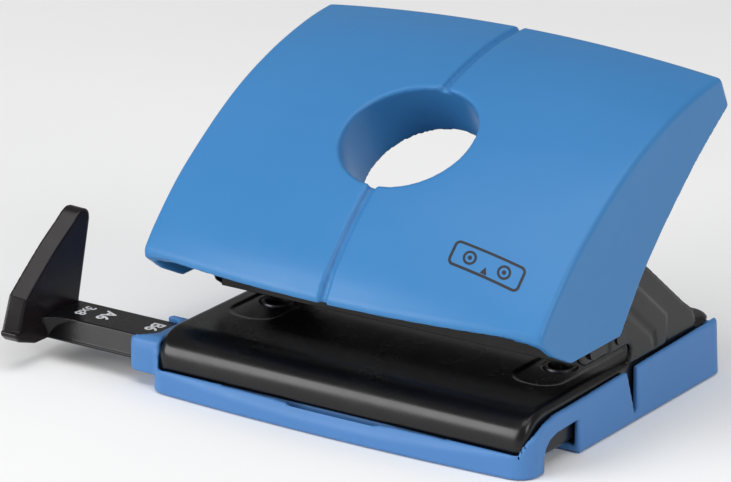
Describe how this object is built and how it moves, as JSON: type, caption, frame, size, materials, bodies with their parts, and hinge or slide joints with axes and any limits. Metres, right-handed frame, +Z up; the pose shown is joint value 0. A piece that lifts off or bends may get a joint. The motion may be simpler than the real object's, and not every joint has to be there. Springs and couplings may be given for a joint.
{
  "type": "hole punch",
  "caption": "Desk punch for filing holes: a lever under a curved cover drives steel pins through a paper slot, above a hinged chip tray with a sliding paper rail.",
  "frame": {"origin": "on the resting plane, in the middle of the tray's footprint and of the hole pair", "axes": "+X right as the user faces it, along the paper's edge; +Y away from the user, the way paper goes in; +Z up"},
  "size_m": [0.1459, 0.0974, 0.0793],
  "materials": {
    "frame_steel": "black enamel, gloss",
    "fastener_steel": "zinc plated",
    "shaft_steel": "ground steel",
    "pin_steel": "hardened, ground",
    "spring_steel": "spring steel",
    "lever_steel": "zinc-plated sheet",
    "cover_plastic": "satin moulded, blue",
    "tray_plastic": "satin moulded, blue",
    "foot_rubber": "matt",
    "rail_plastic": "moulded black",
    "stop_plastic": "moulded black"
  },
  "bodies": {
    "frame": {"base_frame": "frame_steel", "punch_bridge": "frame_steel", "bridge_rivets": "fastener_steel", "pivot_shaft": "shaft_steel", "shaft_clips": "fastener_steel", "left_die": "pin_steel", "right_die": "pin_steel", "left_spring": "spring_steel", "right_spring": "spring_steel"},
    "lever": {"lever_plate": "lever_steel", "handle_cover": "cover_plastic", "cover_screws": "fastener_steel", "press_bar": "shaft_steel", "press_bar_clips": "fastener_steel"},
    "left_punch": {"left_punch_pin": "pin_steel", "left_pin_clip": "fastener_steel"},
    "right_punch": {"right_punch_pin": "pin_steel", "right_pin_clip": "fastener_steel"},
    "tray": {"chip_tray": "tray_plastic", "rubber_feet": "foot_rubber", "rail_detent_spring": "spring_steel"},
    "rail": {"paper_rail": "rail_plastic", "paper_stop": "stop_plastic"}
  },
  "joints": [
    {"name": "lever_hinge", "type": "hinge", "parent": "frame", "child": "lever", "pos_m": [0, -0.0245, 0.042], "axis": [-1, 0, 0], "range_deg": [0, 27.5], "stiffness_Nm_per_rad": 0.4, "springref_deg": -22.92},
    {"name": "left_pin_slide", "type": "slide", "parent": "frame", "child": "left_punch", "axis": [0, 0, -1], "range_m": [0, 0.00772], "deforming": ["left_spring"]},
    {"name": "right_pin_slide", "type": "slide", "parent": "frame", "child": "right_punch", "axis": [0, 0, -1], "range_m": [0, 0.00772], "deforming": ["right_spring"]},
    {"name": "tray_hinge", "type": "hinge", "parent": "frame", "child": "tray", "pos_m": [0, 0.0404, 0.005], "axis": [1, 0, 0], "range_deg": [0, 35]},
    {"name": "rail_slide", "type": "slide", "parent": "tray", "child": "rail", "axis": [-1, 0, 0], "range_m": [-0.0155, 0.076]}
  ],
  "couplings": [
    {"joint": "left_pin_slide", "follows": "lever_hinge", "m_per_rad": 0.016},
    {"joint": "right_pin_slide", "follows": "lever_hinge", "m_per_rad": 0.016}
  ]
}
